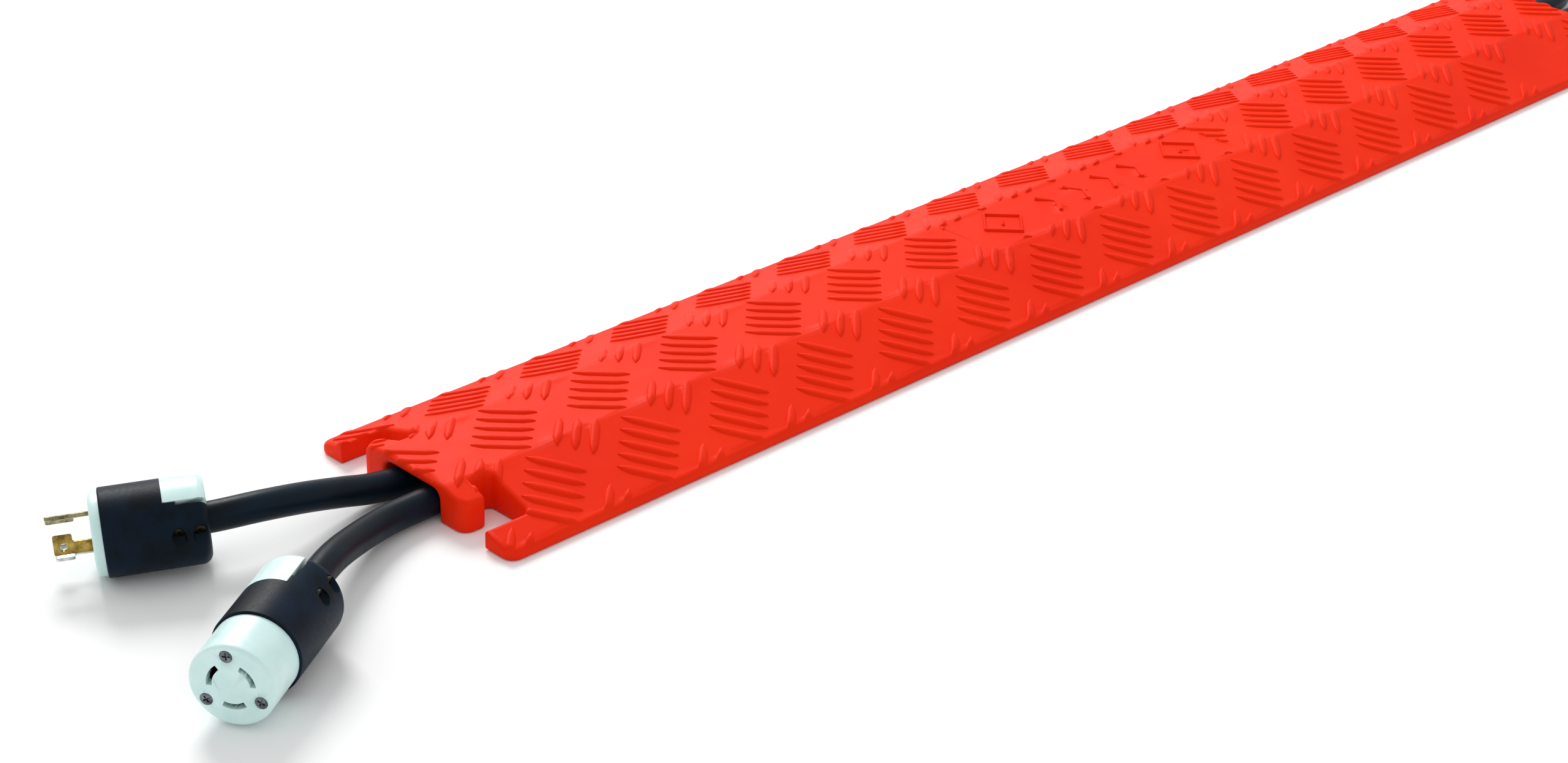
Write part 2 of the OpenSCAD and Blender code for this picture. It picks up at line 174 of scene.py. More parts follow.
def new_object(name, bm, body, slot, stands_for, smooth):
    """Turns a bmesh in millimetres into a piece that rides on a CAD body."""
    mesh = bpy.data.meshes.new(name)
    bmesh.ops.scale(bm, vec=(MM, MM, MM), verts=bm.verts)
    bm.to_mesh(mesh)
    bm.free()
    obj = bpy.data.objects.new(name, mesh)
    bpy.context.scene.collection.objects.link(obj)
    shade(obj, smooth)
    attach(obj, body)
    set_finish(obj, slot)
    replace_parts(obj, *stands_for)
    return obj


def shade(obj, angle):
    """Shades a piece smooth, with sharp edges where its faces meet at more than the angle."""
    mesh = obj.data
    for poly in mesh.polygons:
        poly.use_smooth = True
    mesh.set_sharp_from_angle(angle=math.radians(angle))


def loop_normals(loop):
    """Inward miter vector of each point of a closed loop that runs anticlockwise."""
    p = np.array(loop, float)
    a, b = p - np.roll(p, 1, 0), np.roll(p, -1, 0) - p
    a /= np.linalg.norm(a, axis=1)[:, None]
    b /= np.linalg.norm(b, axis=1)[:, None]
    na, nb = np.c_[-a[:, 1], a[:, 0]], np.c_[-b[:, 1], b[:, 0]]
    return (na + nb) / (1 + (na * nb).sum(1))[:, None]


def arc(cx, cy, r, a0, a1, n=6):
    """Points of an arc round (cx, cy), from angle a0 to a1 in degrees, in n steps."""
    return [(cx + r * math.cos(math.radians(a0 + (a1 - a0) * k / n)),
             cy + r * math.sin(math.radians(a0 + (a1 - a0) * k / n))) for k in range(n + 1)]


def skin(bm, rings):
    """Joins closed rings of equal length into a closed form."""
    rows = [[bm.verts.new(p) for p in ring] for ring in rings]
    n = len(rows[0])
    for low, high in zip(rows, rows[1:]):
        for k in range(n):
            bm.faces.new((low[k], low[(k + 1) % n], high[(k + 1) % n], high[k]))
    bm.faces.new(rows[0][::-1])
    bm.faces.new(rows[-1])


def combine(obj, rings, operation):
    """Cuts a closed form, given as rings, out of a closed mesh, or keeps what both share."""
    bm = bmesh.new()
    skin(bm, rings)
    bmesh.ops.recalc_face_normals(bm, faces=bm.faces)
    bmesh.ops.scale(bm, vec=(MM, MM, MM), verts=bm.verts)
    mesh = bpy.data.meshes.new("form")
    bm.to_mesh(mesh)
    bm.free()
    form = bpy.data.objects.new("form", mesh)
    bpy.context.scene.collection.objects.link(form)
    mod = obj.modifiers.new("combine", "BOOLEAN")
    mod.operation, mod.solver, mod.object = operation, "EXACT", form
    bpy.context.view_layer.update()
    made = bpy.data.meshes.new_from_object(obj.evaluated_get(bpy.context.evaluated_depsgraph_get()))
    obj.modifiers.clear()
    obj.data = made
    bpy.data.objects.remove(form)


# ------------------------------------------------------------------ ramp

# The ramp's own sizes, its channel's, and those of the hooks, necks and wings of its interlock
RAMP_L, RAMP_W, RAMP_H, TOP_W, EDGE_H = 914, 133, 19, 42.6, 4.6
CHANNEL_W, CHANNEL_H, CHANNEL_R = 37, 14.6, 4
LOCK_L, HOOK_L, HOOK_Y, NECK_Y, WING_Y, PLAN_R, PLAY = 23.8, 13, 35.4, 23.8, 49.6, 3, 0.6
TIP_R = 6
LEFT, RIGHT, HALF_W, CREST_Y = -RAMP_L / 2, RAMP_L / 2, RAMP_W / 2, TOP_W / 2
LIP = 1.2
SLOPE = (RAMP_H - EDGE_H) / (HALF_W - LIP - CREST_Y)

# Rounding: the upper face's rim and the rings drawn along it, the crests, the channel's mouths,
# and the outer wall's way down to the ground, as pairs of distance in from the rim and height
EDGE_ROUND, CREST_ROUND, MOUTH_ROUND = 2.2, 1.2, 2.0
EDGE_RINGS = (0, 0.25, 0.75, 1.4, EDGE_ROUND, EDGE_ROUND + 0.35)
WALL = ((0, LIP), (0.18, 0.5), (0.6, 0.1), (0.9, 0))

# How far drawn lines run past the ramp and the cutter past the channel's mouths, and its floor
LINE_PAST, CUTTER_PAST, CUTTER_FLOOR = 5, 40, -6

# Tread bars, the grid that their groups stand on, and the widths over which the tread fades out
# towards the outer edges and the panel
PITCH, BAR_H, BAR_W, BAR_STEP = 55.4, 1.3, 4.2, 8
LONG_BAR, SHORT_BAR, BAR_TAPER, TAPER_POWER = 27, 24, 1.6 * BAR_W, 1.6
FIRST_GROUP, LAST_GROUP = 52, 15
ROW_SHIFT, ROW_Y, CROSS_X, CROSS_Y = 10.6, 45.4, 22.4, -22.6
EDGE_FADE, PANEL_FADE = 2.5, 0.6

# A shape with a taper over LONG_TAPER is a round-backed bar, any other is a flat-topped sign with
# walls SIGN_WALL wide. Each is drawn as rings: RINGS holds their share of the shape's width and
# how far they stand out from it, and the stations are their points' shares of its half-length.
# RING_DRAWN_IN sets how far the inner rings' ends draw in, which is more with a longer taper.
LONG_TAPER = 3
BAR_STATIONS = (-1, -0.93, -0.6, -0.25, 0.25, 0.6, 0.93, 1)
SIGN_STATIONS = (-1, -0.94, 0.94, 1)
RINGS = ((1, 0.45), (1, 0), (0.82, 0), (0.45, 0))
RING_DRAWN_IN = 0.18 / 6.7
SIGN_WALL = 0.35

# The smooth panel on the top face: its ends, in bar groups from the first, and its half-width.
# One group of bars on the -Y slope, by its place and row, is left out for a smooth patch.
PANEL = (5.49, 9.09, 18)
SMOOTH_PATCH = (14, -1)

# Raised signs on the panel: plain outlined diamonds at each end, chevrons between them
DIAMONDS, DIAMOND_SIDE, DIAMOND_LINE, DIAMOND_HEART = (5.98, 8.6), 20.5, 1.6, 5.8
CHEVRONS, CHEVRON_ARM, CHEVRON_LINE = (6.7, 7.1, 7.5, 7.9), 11.6, 2.7
CHEVRON_BACK, CHEVRON_OUT, CHEVRON_HEADING = 1.4, 4.5, math.atan2(9, -6)


def hook_outline():
    """Half of the hook end in plan, y > 0, from the outer edge in to the middle."""
    r = PLAN_R
    points = arc(TIP_R, HALF_W - TIP_R, TIP_R, 90, 180) + [(0, WING_Y)]
    points += arc(LOCK_L - r, WING_Y - r, r, 90, 0)
    points += arc(LOCK_L - r, NECK_Y + r, r, 0, -90) + [(HOOK_L, NECK_Y)]
    points += arc(HOOK_L - r, HOOK_Y - r, r, 0, 90)
    points += arc(TIP_R, HOOK_Y - TIP_R, TIP_R, 90, 180)
    return [(LEFT + x, y) for x, y in points]


def pocket_outline():
    """Half of the pocket end in plan, y > 0, from the middle out to the outer edge."""
    r, deep, head = PLAN_R, LOCK_L + PLAY, LOCK_L - HOOK_L - PLAY
    wide, neck, wing = HOOK_Y + PLAY, NECK_Y + PLAY, WING_Y - PLAY
    points = arc(deep - r, wide - r, r, 0, 90) + arc(head + r, wide - r, r, 90, 180)
    points += [(head, neck), (0, neck), (0, wing), (deep, wing), (deep, HALF_W)]
    return [(RIGHT - x, y) for x, y in points]


def ramp_outline():
    """The whole plan, anticlockwise."""
    half = pocket_outline() + hook_outline()
    return [(x, -y) for x, y in reversed(half)] + half


def group_x(k):
    """Where the group of bars number k stands along the ramp."""
    return LEFT + FIRST_GROUP + k * PITCH


def tread_bars():
    """Each bar as (x, y, heading, length, width, height, taper)."""
    bars = []

    def group(x, y, count, length, turn):
        c, s = math.cos(turn), math.sin(turn)
        for k in range(count):
            off = (k - (count - 1) / 2) * BAR_STEP
            bars.append((x - s * off, y + c * off, turn, length, BAR_W, BAR_H, BAR_TAPER))

    for k in range(-1, LAST_GROUP + 1):
        for row in (-1, 0, 1):
            if (k, row) != SMOOTH_PATCH:
                group(group_x(k) + row * ROW_SHIFT, row * ROW_Y, 5, LONG_BAR, -math.pi / 4)
        for row in (-1, 0, 1, 2):
            group(group_x(k) + CROSS_X + row * ROW_SHIFT, CROSS_Y + row * ROW_Y, 3, SHORT_BAR,
                  math.pi / 4)
    return bars


def sign_bars():
    """The plain diamonds and chevrons on the smooth panel."""
    bars, out = [], (DIAMOND_SIDE - DIAMOND_LINE) / 2
    for k in DIAMONDS:
        for j in range(4):
            a = math.pi / 4 + j * math.pi / 2
            bars.append((group_x(k) + out * math.cos(a), out * math.sin(a), a + math.pi / 2,
                         DIAMOND_SIDE, DIAMOND_LINE, BAR_H, 0.4))
        bars.append((group_x(k), 0, math.pi / 4, DIAMOND_HEART, DIAMOND_HEART, BAR_H, 0.8))
    for k in CHEVRONS:
        for side in (-1, 1):
            bars.append((group_x(k) - CHEVRON_BACK, side * CHEVRON_OUT, side * CHEVRON_HEADING,
                         CHEVRON_ARM, CHEVRON_LINE, BAR_H, 0.5))
    return bars


def bar_frame(bar):
    """A bar's middle and the direction of its length."""
    x, y, a = bar[:3]
    return np.array([x, y]), np.array([math.cos(a), math.sin(a)])


def bar_half_width(bar, u):
    """Half of a bar's width at u along it from its middle, narrowing over its taper."""
    _, _, _, length, width, _, taper = bar
    past = np.clip((np.abs(u) - (length / 2 - taper)) / taper, 0, 1)
    return width / 2 * (1 - past ** TAPER_POWER)


def bar_rings(bar):
    """Outlines of one bar from its foot to its back, as loops of points, and its ridge."""
    at, along = bar_frame(bar)
    side = np.array([-along[1], along[0]])
    length, width, taper = bar[3], bar[4], bar[6]
    stations = BAR_STATIONS if taper > LONG_TAPER else SIGN_STATIONS
    loops = []
    for share, out in RINGS:
        reach = length / 2 * (1 - RING_DRAWN_IN * taper * (1 - share)) + out
        us = [s * reach for s in stations]
        top = [(u, bar_half_width(bar, max(-length / 2, min(length / 2, u))) * share + out)
               for u in us[1:-1]]
        loop = [(us[0], 0)] + [(u, -v) for u, v in top] + [(us[-1], 0)] + top[::-1]
        loops.append([tuple(at + u * along + v * side) for u, v in loop])
    ridge = [tuple(at + u * length / 2 * 0.7 * along) for u in (-1, -0.4, 0.4, 1)]
    return loops, ridge


def bar_height(bar, points):
    """Height of one bar over the surface at points, an array of x and y."""
    at, along = bar_frame(bar)
    d = points - at
    u, v = d @ along, d @ np.array([-along[1], along[0]])
    half = bar_half_width(bar, u)
    length, height, taper = bar[3], bar[5], bar[6]
    inside = (half > 1e-6) & (np.abs(v) < half) & (np.abs(u) < length / 2)
    across = np.where(inside, v / np.maximum(half, 1e-6), 1)
    past = np.clip((np.abs(u) - (length / 2 - taper)) / taper, 0, 1)
    if taper > LONG_TAPER:
        return np.where(inside, height * np.sqrt(np.clip(1 - across ** 2, 0, 1))
                        * np.sqrt(1 - past ** 2), 0)
    edge = np.minimum(half - np.abs(v), length / 2 - np.abs(u))
    return np.where(inside, height * np.clip(edge / SIGN_WALL, 0, 1), 0)


def distance_to(loop, points):
    """Distance from each point to a closed loop."""
    a = np.array(loop, float)
    b = np.roll(a, -1, 0)
    best = np.full(len(points), 1e9)
    for p, q in zip(a, b):
        d = q - p
        t = np.clip((points - p) @ d / max(d @ d, 1e-12), 0, 1)
        best = np.minimum(best, np.hypot(*(points - p - t[:, None] * d).T))
    return best


def inward_along(loop, inward, points):
    """Inward vectors at points on a closed loop, blended between its corners'."""
    a = np.array(loop, float)
    b, nb = np.roll(a, -1, 0), np.roll(inward, -1, 0)
    found = []
    for p in np.array(points, float):
        d = b - a
        t = np.clip(((p - a) * d).sum(1) / (d * d).sum(1), 0, 1)
        k = np.argmin(np.hypot(*(p - a - t[:, None] * d).T))
        found.append((1 - t[k]) * inward[k] + t[k] * nb[k])
    return found


def within(loop, points):
    """Which points lie inside a closed loop."""
    a = np.array(loop, float)
    odd = np.zeros(len(points), bool)
    for (x0, y0), (x1, y1) in zip(a, np.roll(a, -1, 0)):
        if y0 != y1:
            hit = (y0 > points[:, 1]) != (y1 > points[:, 1])
            odd ^= hit & (points[:, 0] < (x1 - x0) * (points[:, 1] - y0) / (y1 - y0) + x0)
    return odd


def plain_height(points):
    """The ramp's upper face without its tread: flat top, soft crests and two slopes."""
    y = np.abs(points[:, 1]) - CREST_Y
    c = CREST_ROUND
    bent = SLOPE * (np.clip(y, -c, c) + c) ** 2 / (4 * c)
    return RAMP_H - np.where(y > c, SLOPE * y, bent)


def step_up(x, width):
    """A soft step from 0 at x = 0 to 1 at x = width."""
    t = np.clip(x / width, 0, 1)
    return t * t * (3 - 2 * t)


def upper_face(points, outline, bars, signs):
    """Height of the ramp's finished upper face at points, with tread, signs and rounded rim."""
    x0, x1, half = group_x(PANEL[0]), group_x(PANEL[1]), PANEL[2]
    outside = np.maximum.reduce([x0 - points[:, 0], points[:, 0] - x1,
                                 np.abs(points[:, 1]) - half])
    tread, raised = np.zeros(len(points)), np.zeros(len(points))
    for shapes, height in ((bars, tread), (signs, raised)):
        for bar in shapes:
            near = np.abs(points[:, 0] - bar[0]) < bar[3]
            height[near] = np.maximum(height[near], bar_height(bar, points[near]))
    tread *= (outside > 1e-3) * step_up(outside, PANEL_FADE)
    tread *= step_up(HALF_W - LIP - np.abs(points[:, 1]), EDGE_FADE)
    d = np.clip(distance_to(outline, points), 0, EDGE_ROUND)
    drop = EDGE_ROUND - np.sqrt(EDGE_ROUND ** 2 - (EDGE_ROUND - d) ** 2)
    return plain_height(points) + np.maximum(tread, raised) - drop


def add_path(points, edges, path, closed=True):
    """Adds a line through the given places to a drawing, and closes it unless told not to."""
    start, count = len(points), len(path)
    points.extend(Vector(p) for p in path)
    edges.extend((start + k, start + (k + 1) % count) for k in range(count - (not closed)))


def fill(points, edges, tolerance):
    """Fills a flat drawing with triangles. Gives its points, the triangles and their middles."""
    flat, _, faces, *_ = delaunay_2d_cdt(points, edges, [], 0, tolerance)
    flat = np.array([tuple(p) for p in flat])
    faces = np.array([list(f) for f in faces if len(f) == 3])
    return flat, faces, flat[faces].mean(1)


def ramp_drawing(outline, inward, bars, signs):
    """The lines that the upper face's mesh follows, in plan: rim, crests, panel and bars."""
    points, edges = [], []
    for d in EDGE_RINGS:
        add_path(points, edges, [tuple(np.array(p) + d * n) for p, n in zip(outline, inward)])
    for side in (-1, 1):
        for y in (CREST_Y - CREST_ROUND, CREST_Y, CREST_Y + CREST_ROUND, HALF_W - LIP - EDGE_FADE):
            line = [(LEFT - LINE_PAST, side * y), (RIGHT + LINE_PAST, side * y)]
            add_path(points, edges, line, False)
    x0, x1, half = group_x(PANEL[0]), group_x(PANEL[1]), PANEL[2]
    for out in (0, PANEL_FADE):
        add_path(points, edges, [(x0 - out, -half - out), (x1 + out, -half - out),
                                 (x1 + out, half + out), (x0 - out, half + out)])
    for bar in bars + signs:
        x, y, reach = bar[0], bar[1], bar[3] / 2
        off_ramp = x < LEFT - reach or x > RIGHT + reach
        under_panel = bar in bars and x0 + reach < x < x1 - reach and abs(y) < half - reach
        if not off_ramp and not under_panel:
            loops, ridge = bar_rings(bar)
            for loop in loops:
                add_path(points, edges, loop)
            add_path(points, edges, ridge, False)
    return points, edges


def flat_face(outline, points, edges):
    """The part of a drawing inside the outline as one flat mesh, all of it facing up."""
    flat, faces, middle = fill(points, edges, 1e-3)
    faces = faces[within(outline, middle)]
    used = np.unique(faces)
    index = np.full(len(flat), -1)
    index[used] = np.arange(len(used))
    flat, faces = flat[used], index[faces]
    bm = bmesh.new()
    verts = [bm.verts.new((x, y, 0)) for x, y in flat]
    for a, b, c in faces:
        (ax, ay), (bx, by), (cx, cy) = flat[a], flat[b], flat[c]
        if (bx - ax) * (cy - ay) - (by - ay) * (cx - ax) < 0:
            b, c = c, b
        bm.faces.new((verts[a], verts[b], verts[c]))
    bmesh.ops.remove_doubles(bm, verts=bm.verts, dist=0.04)
    bmesh.ops.dissolve_degenerate(bm, edges=bm.edges, dist=0.002)
    bmesh.ops.triangulate(bm, faces=bm.faces)
    return bm


def rim_of(bm):
    """The points round a mesh's one open rim, in order."""
    following = {}
    for e in bm.edges:
        if e.is_boundary:
            for loop in e.link_loops:
                following[loop.vert] = loop.link_loop_next.vert
    rim = [next(iter(following))]
    while following[rim[-1]] is not rim[0]:
        rim.append(following[rim[-1]])
    return rim


def add_wall(bm, outline, inward):
    """Adds the outer wall, from the upper face's rim to the ground, and the flat underside."""
    rows = [rim_of(bm)]
    plan = [(v.co.x, v.co.y) for v in rows[0]]
    normals = inward_along(outline, inward, plan)
    for d, h in WALL:
        rows.append([bm.verts.new((p[0] + d * n[0], p[1] + d * n[1], h))
                     for p, n in zip(plan, normals)])
    count = len(plan)
    for high, low in zip(rows, rows[1:]):
        for k in range(count):
            j = (k + 1) % count
            bm.faces.new((high[j], high[k], low[k], low[j]))
    bm.faces.new(rows[-1][::-1])


def make_ramp():
    """The ramp: a flat mesh raised to its upper face, walled in, then cut by the channel."""
    outline = ramp_outline()
    inward = loop_normals(outline)
    bars, signs = tread_bars(), sign_bars()
    bm = flat_face(outline, *ramp_drawing(outline, inward, bars, signs))
    plan = np.array([(v.co.x, v.co.y) for v in bm.verts])
    for v, height in zip(bm.verts, upper_face(plan, outline, bars, signs)):
        v.co.z = height
    add_wall(bm, outline, inward)
    bmesh.ops.recalc_face_normals(bm, faces=bm.faces)
    ramp = new_object("ramp", bm, "ramp", "ramp_orange", ["ramp_body"], 50)
    combine(ramp, channel_cutter(), "DIFFERENCE")
    shade(ramp, 50)
    return ramp


def channel_cutter():
    """A long prism of the channel's section, flared at both mouths to round their edges."""
    ends = (LEFT, RIGHT - LOCK_L - PLAY)
    rings = []
    stations = [(ends[0] - CUTTER_PAST, MOUTH_ROUND)]
    for k in range(5):
        a = math.radians(22.5 * k)
        stations.append((ends[0] + MOUTH_ROUND * (1 - math.cos(a)), MOUTH_ROUND * (1 - math.sin(a))))
    stations += [(ends[1] - (x - ends[0]), out) for x, out in reversed(stations)]
    half, r = CHANNEL_W / 2, CHANNEL_R
    for x, out in stations:
        section = [(-half - out, CUTTER_FLOOR)]
        section += arc(-half + r, CHANNEL_H - r, r + out, 180, 90, 5)
        section += arc(half - r, CHANNEL_H - r, r + out, 90, 0, 5)
        section += [(half + out, CUTTER_FLOOR)]
        rings.append([(x, y, z) for y, z in section])
    return rings


ramp = make_ramp()

# ------------------------------------------------------------------ plug and connector

# The barrels' radii, how much the envelope takes off them, and its number of sides
SHELL_R, FRONT_R, SKIM, SIDES = 19.1, 18, 0.25, 128

# Locking blades stand on a circle: its radius, their thickness, half their width and the lock's
# length in degrees, their soft edges and corners, how far they reach in behind the plug's front,
# and the hole near their tip
BLADE_R, BLADE_T, HALF_SHANK, LOCK_TURN = 9, 1.6, 17, 20
BLADE_EDGE, BLADE_CORNER, BLADE_INSIDE = 0.3, 0.9, 12
HOLE_FROM_TIP, HOLE_ASIDE, HOLE_R = 4, 0.6, 1.6


def rounded(node, slot, place, span, radius, fronts, rears):
    """A CAD node cut to a round envelope whose rims are rounded, front and rear."""
    bm = bmesh.new()
    bm.from_mesh(nodes[node].data)
    bmesh.ops.transform(bm, matrix=nodes[node].matrix_world, verts=bm.verts)
    bmesh.ops.scale(bm, vec=(1 / MM, 1 / MM, 1 / MM), verts=bm.verts)
    bmesh.ops.remove_doubles(bm, verts=bm.verts, dist=0.0005)
    piece = new_object(node + "_shape", bm, "cord_set", slot, [node], 30)
    (a, b), skim = span, radius - SKIM
    profile = arc(a + fronts, skim - fronts, fronts, 180, 90)
    profile += arc(b - rears, skim - rears, rears, 90, 0, 10)
    turns = [2 * math.pi * k / SIDES for k in range(SIDES)]
    rings = [[place @ Vector((x, r * math.cos(turn), r * math.sin(turn))) for turn in turns]
             for x, r in profile]
    combine(piece, rings, "INTERSECT")
    shade(piece, 30)
    smooth_barrel(piece, place, skim)
    return piece


def smooth_barrel(piece, place, radius):
    """Gives the faces of a round barrel the normals of a true cylinder."""
    mesh, home = piece.data, place.inverted()
    normals = [tuple(n.vector) for n in mesh.corner_normals]
    local = [home @ (v.co / MM) for v in mesh.vertices]
    for face in mesh.polygons:
        if all(abs(math.hypot(local[v].y, local[v].z) - radius) < 0.02 for v in face.vertices):
            for corner, v in zip(face.loop_indices, face.vertices):
                out = Vector((0, local[v].y, local[v].z))
                normals[corner] = tuple((place.to_3x3() @ out).normalized())
    mesh.normals_split_custom_set(normals)


def blade(node, slot, pole, reach, hook):
    """A locking blade: cut from sheet, with soft edges, and curved round the plug's axis."""
    mid, c, tail = math.radians(pole) * BLADE_R, BLADE_CORNER, PLUG_FRONT_L + BLADE_INSIDE
    half, lock = (math.radians(a) * BLADE_R for a in (HALF_SHANK, LOCK_TURN))
    low, high, tip = mid - half, mid + half, mid - half - lock
    outline = [(tail, low), (tail, high)] + arc(-reach + c, high - c, c, 90, 180)
    outline += arc(-reach + c, tip + c, c, 180, 270) + arc(hook - reach - c, tip + c, c, 270, 360)
    outline += arc(hook - reach + c, low - c, c, 180, 90)
    hole = arc(-reach + HOLE_FROM_TIP, mid - HOLE_ASIDE, HOLE_R, 0, 345, 23)
    points, edges = [], []
    for loop, sign in ((outline, 1), (hole, -1)):
        inward = sign * loop_normals(loop)
        for d in (0, 0.1, BLADE_EDGE):
            add_path(points, edges, np.array(loop) + d * inward)
    for k in range(1, 10):
        s = tip + (high - tip) * k / 10
        add_path(points, edges, [(-reach - 1, s), (tail + 1, s)], False)
    flat, faces, middle = fill(points, edges, 1e-4)
    faces = faces[within(outline, middle) & ~within(hole, middle)]
    near = np.minimum(distance_to(outline, flat), distance_to(hole, flat))
    d = BLADE_EDGE - np.clip(near, 0, BLADE_EDGE)
    thick = BLADE_T / 2 - BLADE_EDGE + np.sqrt(BLADE_EDGE ** 2 - d ** 2)
    bm = bmesh.new()
    sheets = []
    for side in (1, -1):
        radius, angle = BLADE_R + side * thick, flat[:, 1] / BLADE_R
        place = zip(flat[:, 0], radius * np.cos(angle), radius * np.sin(angle))
        verts = [bm.verts.new(in_plug @ Vector(p)) for p in place]
        sheets.append(verts)
        for f in faces:
            bm.faces.new([verts[k] for k in f])
    index = {v: k for k, v in enumerate(sheets[0])}
    for e in [e for e in bm.edges if e.is_boundary and e.verts[0] in index]:
        i, j = (index[v] for v in e.verts)
        bm.faces.new((sheets[0][i], sheets[0][j], sheets[1][j], sheets[1][i]))
    bmesh.ops.delete(bm, geom=[v for v in bm.verts if not v.link_faces], context="VERTS")
    bmesh.ops.recalc_face_normals(bm, faces=bm.faces)
    return new_object(node + "_shape", bm, "cord_set", slot, [node], 40)


plug_end, conn_end = PLUG_FRONT_L + SHELL_L + PLUG_CLAMP_L, CONN_FRONT_L + SHELL_L + CONN_CLAMP_L
shaped = [
    rounded("plug_housing", "housing_black", in_plug, (PLUG_FRONT_L, plug_end), SHELL_R, 0.8, 4.5),
    rounded("plug_clamp", "nylon_white", in_plug, (PLUG_FRONT_L, plug_end), SHELL_R, 0.8, 3.5),
    rounded("plug_front", "nylon_white", in_plug, (0, plug_end), FRONT_R, 1.6, 1),
    rounded("connector_housing", "housing_black", in_conn, (CONN_FRONT_L, conn_end), SHELL_R,
            0.8, 4.5),
    rounded("connector_clamp", "nylon_white", in_conn, (CONN_FRONT_L, conn_end), SHELL_R, 0.8, 3.5),
    rounded("connector_front", "nylon_white", in_conn, (0, conn_end), FRONT_R, 1.8, 1),
    blade("plug_blade_line", "blade_brass", 177, 15.6, 7.8),
    blade("plug_blade_neutral", "blade_nickel", 297, 15.6, 7.8),
    blade("plug_blade_ground", "blade_ground", 57, 18, 11.5),
]

# ------------------------------------------------------------------ materials


class Look:
    """A node material: its shader, and short ways to add noise and mixes to it."""

    def __init__(self, name, rough, **sockets):
        self.material = bpy.data.materials.new(name)
        self.material.use_nodes = True
        self.tree = self.material.node_tree
        self.shader = self.tree.nodes["Principled BSDF"]
        self.shader.inputs["Roughness"].default_value = rough
        for socket, value in sockets.items():
            self.shader.inputs[socket.replace("_", " ")].default_value = value
        self.place = self.tree.nodes.new("ShaderNodeTexCoord").outputs["Object"]

    def noise(self, scale, detail=3, stretch=None, rough=0.55):
        node = self.tree.nodes.new("ShaderNodeTexNoise")
        node.inputs["Scale"].default_value = scale
        node.inputs["Detail"].default_value = detail
        node.inputs["Roughness"].default_value = rough
        place = self.place
        if stretch:
            mapping = self.tree.nodes.new("ShaderNodeMapping")
            mapping.inputs["Scale"].default_value = stretch
            self.tree.links.new(place, mapping.inputs["Vector"])
            place = mapping.outputs["Vector"]
        self.tree.links.new(place, node.inputs["Vector"])
        return node.outputs["Fac"]

    def ramp(self, value, stops):
        node = self.tree.nodes.new("ShaderNodeValToRGB")
        self.tree.links.new(value, node.inputs["Fac"])
        marks = node.color_ramp.elements
        while len(marks) < len(stops):
            marks.new(0.5)
        for mark, (at, colour) in zip(marks, stops):
            mark.position = at
            mark.color = (*colour, 1) if len(colour) == 3 else (colour[0],) * 3 + (1,)
        return node.outputs["Color"]

    def mix(self, factor, a, b):
        node = self.tree.nodes.new("ShaderNodeMix")
        node.data_type = "RGBA"
        self.tree.links.new(factor, node.inputs["Factor"])
        colour_a, colour_b, result = node.inputs[6], node.inputs[7], node.outputs[2]
        for socket, value in ((colour_a, a), (colour_b, b)):
            if isinstance(value, tuple):
                socket.default_value = (*value, 1)
            else:
                self.tree.links.new(value, socket)
        return result

    def colour(self, value):
        self.tree.links.new(value, self.shader.inputs["Base Color"])

    def roughness(self, value, low, high):
        node = self.tree.nodes.new("ShaderNodeMapRange")
        node.inputs["To Min"].default_value, node.inputs["To Max"].default_value = low, high
        self.tree.links.new(value, node.inputs["Value"])
        self.tree.links.new(node.outputs["Result"], self.shader.inputs["Roughness"])

    def bump(self, *layers):
        """Layers of (height, strength, distance in millimetres), laid over each other."""
        normal = None
        for height, strength, distance in layers:
            node = self.tree.nodes.new("ShaderNodeBump")
            node.inputs["Strength"].default_value = strength
            node.inputs["Distance"].default_value = distance * MM
            self.tree.links.new(height, node.inputs["Height"])
            if normal:
                self.tree.links.new(normal, node.inputs["Normal"])
            normal = node.outputs["Normal"]
        self.tree.links.new(normal, self.shader.inputs["Normal"])


def orange():
    look = Look("orange_polyurethane", 0.5, IOR=1.48, Specular_IOR_Level=0.08)
    cloud, grain = look.noise(14, 4), look.noise(900, 2)
    scuff = look.noise(60, 6, (0.25, 1, 1), 0.7)
    base = look.ramp(cloud, [(0.3, (0.79, 0.018, 0.001)), (0.72, (0.87, 0.027, 0.002))])
    worn = look.ramp(scuff, [(0.6, (0,)), (0.78, (0.5,))])
    look.colour(look.mix(worn, base, (0.90, 0.045, 0.009)))
    look.roughness(scuff, 0.42, 0.62)
    look.bump((look.noise(120, 4), 0.25, 0.5), (grain, 0.3, 0.12))
    return look.material


def jacket():
    look = Look("cord_jacket", 0.4, IOR=1.5, Specular_IOR_Level=0.12)
    streak = look.noise(70, 4, (0.15, 1, 1))
    look.colour(look.ramp(streak, [(0.35, (0.001, 0.004, 0.007)), (0.7, (0.003, 0.012, 0.024))]))
    look.roughness(look.noise(240, 3), 0.32, 0.5)
    look.bump((look.noise(450, 3), 0.3, 0.15), (look.noise(1600, 2), 0.2, 0.06))
    return look.material


def black_housing():
    look = Look("black_housing", 0.45, IOR=1.5, Specular_IOR_Level=0.1)
    cloud = look.noise(60, 5)
    look.colour(look.ramp(cloud, [(0.35, (0.001, 0.004, 0.007)), (0.72, (0.002, 0.013, 0.032))]))
    look.roughness(look.noise(500, 3), 0.38, 0.56)
    look.bump((look.noise(1300, 3), 0.45, 0.12))
    return look.material


